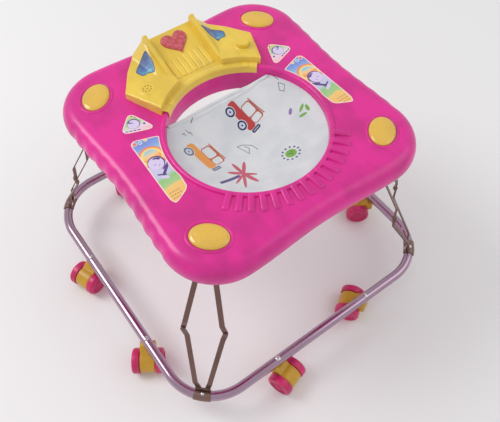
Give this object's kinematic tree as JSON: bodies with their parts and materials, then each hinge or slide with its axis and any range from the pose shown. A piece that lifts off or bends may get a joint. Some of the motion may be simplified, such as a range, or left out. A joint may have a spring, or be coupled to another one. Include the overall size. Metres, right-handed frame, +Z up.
{
  "type": "baby walker",
  "caption": "Folding baby walker: square tube base on twin-wheel castors, knee-strip legs, moulded play tray with toy console and cloth sling seat.",
  "frame": {"origin": "on the floor under the centre of the base frame", "axes": "+Z up, +Y the way the child faces (console side), +X the child's right"},
  "size_m": [0.6902, 0.6892, 0.478],
  "materials": {
    "chrome_tube": "polished plated tube",
    "dark_steel": "dark plated steel",
    "strip_steel": "dull plated strip",
    "bright_steel": "plated rivets and screws",
    "pink_plastic": "glossy blow-moulded pink",
    "yellow_cap": "glossy",
    "side_sticker": "printed glossy film",
    "seat_cloth": "printed woven cloth",
    "white_plastic": "press studs",
    "yellow_plastic": "glossy moulding",
    "window_sticker": "printed film",
    "coral_lens": "translucent moulding",
    "black_plastic": "speaker frame",
    "green_board": "solder-masked board",
    "cell_jacket": "cell jackets",
    "yellow_hood": "moulded hood",
    "pink_wheel": "moulded wheel"
  },
  "bodies": {
    "base": {"base_tube": "chrome_tube", "corner_brackets": "dark_steel", "corner_bolts": "bright_steel", "base_pivot_pins": "bright_steel", "castor_pins": "bright_steel"},
    "castor_1": {"castor_hood_1": "yellow_hood"},
    "castor_1_wheels": {"castor_wheels_1": "pink_wheel"},
    "castor_2": {"castor_hood_2": "yellow_hood"},
    "castor_2_wheels": {"castor_wheels_2": "pink_wheel"},
    "castor_3": {"castor_hood_3": "yellow_hood"},
    "castor_3_wheels": {"castor_wheels_3": "pink_wheel"},
    "castor_4": {"castor_hood_4": "yellow_hood"},
    "castor_4_wheels": {"castor_wheels_4": "pink_wheel"},
    "castor_5": {"castor_hood_5": "yellow_hood"},
    "castor_5_wheels": {"castor_wheels_5": "pink_wheel"},
    "castor_6": {"castor_hood_6": "yellow_hood"},
    "castor_6_wheels": {"castor_wheels_6": "pink_wheel"},
    "castor_7": {"castor_hood_7": "yellow_hood"},
    "castor_7_wheels": {"castor_wheels_7": "pink_wheel"},
    "castor_8": {"castor_hood_8": "yellow_hood"},
    "castor_8_wheels": {"castor_wheels_8": "pink_wheel"},
    "lower_1a": {"lower_strip_1a": "strip_steel"},
    "upper_1a": {"upper_strip_1a": "strip_steel"},
    "lower_1b": {"lower_strip_1b": "strip_steel"},
    "upper_1b": {"upper_strip_1b": "strip_steel"},
    "lower_2a": {"lower_strip_2a": "strip_steel"},
    "upper_2a": {"upper_strip_2a": "strip_steel"},
    "lower_2b": {"lower_strip_2b": "strip_steel"},
    "upper_2b": {"upper_strip_2b": "strip_steel"},
    "lower_3a": {"lower_strip_3a": "strip_steel"},
    "upper_3a": {"upper_strip_3a": "strip_steel"},
    "lower_3b": {"lower_strip_3b": "strip_steel"},
    "upper_3b": {"upper_strip_3b": "strip_steel"},
    "lower_4a": {"lower_strip_4a": "strip_steel"},
    "upper_4a": {"upper_strip_4a": "strip_steel"},
    "lower_4b": {"lower_strip_4b": "strip_steel"},
    "upper_4b": {"upper_strip_4b": "strip_steel"},
    "tray": {"tray": "pink_plastic", "tray_brackets": "dark_steel", "bracket_screws": "bright_steel", "tray_pivot_pins": "bright_steel", "corner_caps": "yellow_cap", "side_stickers": "side_sticker", "seat_cloth": "seat_cloth", "seat_studs": "white_plastic", "console_shell": "yellow_plastic", "console_screws": "bright_steel", "window_stickers": "window_sticker", "heart_lens": "coral_lens", "lamp": "coral_lens", "button_spring": "bright_steel", "speaker": "black_plastic", "circuit_board": "green_board", "battery_box": "yellow_plastic", "battery_cells": "cell_jacket", "battery_door": "yellow_plastic"},
    "push_button": {"push_button": "yellow_plastic"}
  },
  "joints": [
    {"name": "castor_1_swivel", "type": "hinge", "parent": "base", "child": "castor_1", "pos_m": [0.29, -0.11, 0.056], "axis": [0, 0, 1], "continuous": true},
    {"name": "castor_1_roll", "type": "hinge", "parent": "castor_1", "child": "castor_1_wheels", "pos_m": [0.27083, -0.09556, 0.025], "axis": [-0.6018, -0.7986, 0], "continuous": true},
    {"name": "castor_2_swivel", "type": "hinge", "parent": "base", "child": "castor_2", "pos_m": [0.29, 0.11, 0.056], "axis": [0, 0, 1], "continuous": true},
    {"name": "castor_2_roll", "type": "hinge", "parent": "castor_2", "child": "castor_2_wheels", "pos_m": [0.31255, 0.10179, 0.025], "axis": [0.342, 0.9397, 0], "continuous": true},
    {"name": "castor_3_swivel", "type": "hinge", "parent": "base", "child": "castor_3", "pos_m": [0.11, 0.29, 0.056], "axis": [0, 0, 1], "continuous": true},
    {"name": "castor_3_roll", "type": "hinge", "parent": "castor_3", "child": "castor_3_wheels", "pos_m": [0.11702, 0.31295, 0.025], "axis": [-0.9563, 0.2924, 0], "continuous": true},
    {"name": "castor_4_swivel", "type": "hinge", "parent": "base", "child": "castor_4", "pos_m": [-0.11, 0.29, 0.056], "axis": [0, 0, 1], "continuous": true},
    {"name": "castor_4_roll", "type": "hinge", "parent": "castor_4", "child": "castor_4_wheels", "pos_m": [-0.11899, 0.26775, 0.025], "axis": [0.9272, -0.3746, 0], "continuous": true},
    {"name": "castor_5_swivel", "type": "hinge", "parent": "base", "child": "castor_5", "pos_m": [-0.29, 0.11, 0.056], "axis": [0, 0, 1], "continuous": true},
    {"name": "castor_5_roll", "type": "hinge", "parent": "castor_5", "child": "castor_5_wheels", "pos_m": [-0.31255, 0.10179, 0.025], "axis": [0.342, -0.9397, 0], "continuous": true},
    {"name": "castor_6_swivel", "type": "hinge", "parent": "base", "child": "castor_6", "pos_m": [-0.29, -0.11, 0.056], "axis": [0, 0, 1], "continuous": true},
    {"name": "castor_6_roll", "type": "hinge", "parent": "castor_6", "child": "castor_6_wheels", "pos_m": [-0.30377, -0.12966, 0.025], "axis": [0.8192, -0.5736, 0], "continuous": true},
    {"name": "castor_7_swivel", "type": "hinge", "parent": "base", "child": "castor_7", "pos_m": [-0.11, -0.29, 0.056], "axis": [0, 0, 1], "continuous": true},
    {"name": "castor_7_roll", "type": "hinge", "parent": "castor_7", "child": "castor_7_wheels", "pos_m": [-0.10298, -0.31295, 0.025], "axis": [0.9563, 0.2924, 0], "continuous": true},
    {"name": "castor_8_swivel", "type": "hinge", "parent": "base", "child": "castor_8", "pos_m": [0.11, -0.29, 0.056], "axis": [0, 0, 1], "continuous": true},
    {"name": "castor_8_roll", "type": "hinge", "parent": "castor_8", "child": "castor_8_wheels", "pos_m": [0.09728, -0.26965, 0.025], "axis": [-0.848, -0.5299, 0], "continuous": true},
    {"name": "base_hinge_1a", "type": "hinge", "parent": "base", "child": "lower_1a", "pos_m": [0.25032, 0.26163, 0.084], "axis": [-0.7071, -0.7071, 0], "range_deg": [0, 60]},
    {"name": "tray_hinge_1a", "type": "hinge", "parent": "tray", "child": "upper_1a", "pos_m": [0.17763, 0.18894, 0.3675], "axis": [-0.7071, -0.7071, 0], "range_deg": [-60, 0]},
    {"name": "base_hinge_1b", "type": "hinge", "parent": "base", "child": "lower_1b", "pos_m": [0.26163, 0.25032, 0.084], "axis": [0.7071, 0.7071, 0], "range_deg": [0, 60]},
    {"name": "tray_hinge_1b", "type": "hinge", "parent": "tray", "child": "upper_1b", "pos_m": [0.18894, 0.17763, 0.3675], "axis": [0.7071, 0.7071, 0], "range_deg": [-60, 0]},
    {"name": "base_hinge_2a", "type": "hinge", "parent": "base", "child": "lower_2a", "pos_m": [-0.26163, 0.25032, 0.084], "axis": [0.7071, -0.7071, 0], "range_deg": [0, 60]},
    {"name": "tray_hinge_2a", "type": "hinge", "parent": "tray", "child": "upper_2a", "pos_m": [-0.18894, 0.17763, 0.3675], "axis": [0.7071, -0.7071, 0], "range_deg": [-60, 0]},
    {"name": "base_hinge_2b", "type": "hinge", "parent": "base", "child": "lower_2b", "pos_m": [-0.25032, 0.26163, 0.084], "axis": [-0.7071, 0.7071, 0], "range_deg": [0, 60]},
    {"name": "tray_hinge_2b", "type": "hinge", "parent": "tray", "child": "upper_2b", "pos_m": [-0.17763, 0.18894, 0.3675], "axis": [-0.7071, 0.7071, 0], "range_deg": [-60, 0]},
    {"name": "fold", "type": "hinge", "parent": "base", "child": "lower_3a", "pos_m": [-0.25032, -0.26163, 0.084], "axis": [0.7071, 0.7071, 0], "range_deg": [0, 60]},
    {"name": "knee_hinge_3a", "type": "hinge", "parent": "lower_3a", "child": "upper_3a", "pos_m": [-0.19318, -0.24409, 0.22575], "axis": [0.7071, 0.7071, 0], "range_deg": [-120, 0]},
    {"name": "tray_hinge_3a", "type": "hinge", "parent": "upper_3a", "child": "tray", "pos_m": [-0.17763, -0.18894, 0.3675], "axis": [0.7071, 0.7071, 0], "range_deg": [0, 60]},
    {"name": "base_hinge_3b", "type": "hinge", "parent": "base", "child": "lower_3b", "pos_m": [-0.26163, -0.25032, 0.084], "axis": [-0.7071, -0.7071, 0], "range_deg": [0, 60]},
    {"name": "tray_hinge_3b", "type": "hinge", "parent": "tray", "child": "upper_3b", "pos_m": [-0.18894, -0.17763, 0.3675], "axis": [-0.7071, -0.7071, 0], "range_deg": [-60, 0]},
    {"name": "base_hinge_4a", "type": "hinge", "parent": "base", "child": "lower_4a", "pos_m": [0.26163, -0.25032, 0.084], "axis": [-0.7071, 0.7071, 0], "range_deg": [0, 60]},
    {"name": "tray_hinge_4a", "type": "hinge", "parent": "tray", "child": "upper_4a", "pos_m": [0.18894, -0.17763, 0.3675], "axis": [-0.7071, 0.7071, 0], "range_deg": [-60, 0]},
    {"name": "base_hinge_4b", "type": "hinge", "parent": "base", "child": "lower_4b", "pos_m": [0.25032, -0.26163, 0.084], "axis": [0.7071, -0.7071, 0], "range_deg": [0, 60]},
    {"name": "tray_hinge_4b", "type": "hinge", "parent": "tray", "child": "upper_4b", "pos_m": [0.17763, -0.18894, 0.3675], "axis": [0.7071, -0.7071, 0], "range_deg": [-60, 0]},
    {"name": "button_press", "type": "slide", "parent": "tray", "child": "push_button", "axis": [0, 0, -1], "range_m": [0, 0.0025], "stiffness_N_per_m": 400, "springref_m": -0.0005, "deforming": ["button_spring"]}
  ],
  "couplings": [
    {"joint": "base_hinge_1a", "follows": "fold", "ratio": 1},
    {"joint": "tray_hinge_1a", "follows": "fold", "ratio": -1},
    {"joint": "base_hinge_1b", "follows": "fold", "ratio": 1},
    {"joint": "tray_hinge_1b", "follows": "fold", "ratio": -1},
    {"joint": "base_hinge_2a", "follows": "fold", "ratio": 1},
    {"joint": "tray_hinge_2a", "follows": "fold", "ratio": -1},
    {"joint": "base_hinge_2b", "follows": "fold", "ratio": 1},
    {"joint": "tray_hinge_2b", "follows": "fold", "ratio": -1},
    {"joint": "knee_hinge_3a", "follows": "fold", "ratio": -2},
    {"joint": "tray_hinge_3a", "follows": "fold", "ratio": 1},
    {"joint": "base_hinge_3b", "follows": "fold", "ratio": 1},
    {"joint": "tray_hinge_3b", "follows": "fold", "ratio": -1},
    {"joint": "base_hinge_4a", "follows": "fold", "ratio": 1},
    {"joint": "tray_hinge_4a", "follows": "fold", "ratio": -1},
    {"joint": "base_hinge_4b", "follows": "fold", "ratio": 1},
    {"joint": "tray_hinge_4b", "follows": "fold", "ratio": -1}
  ]
}
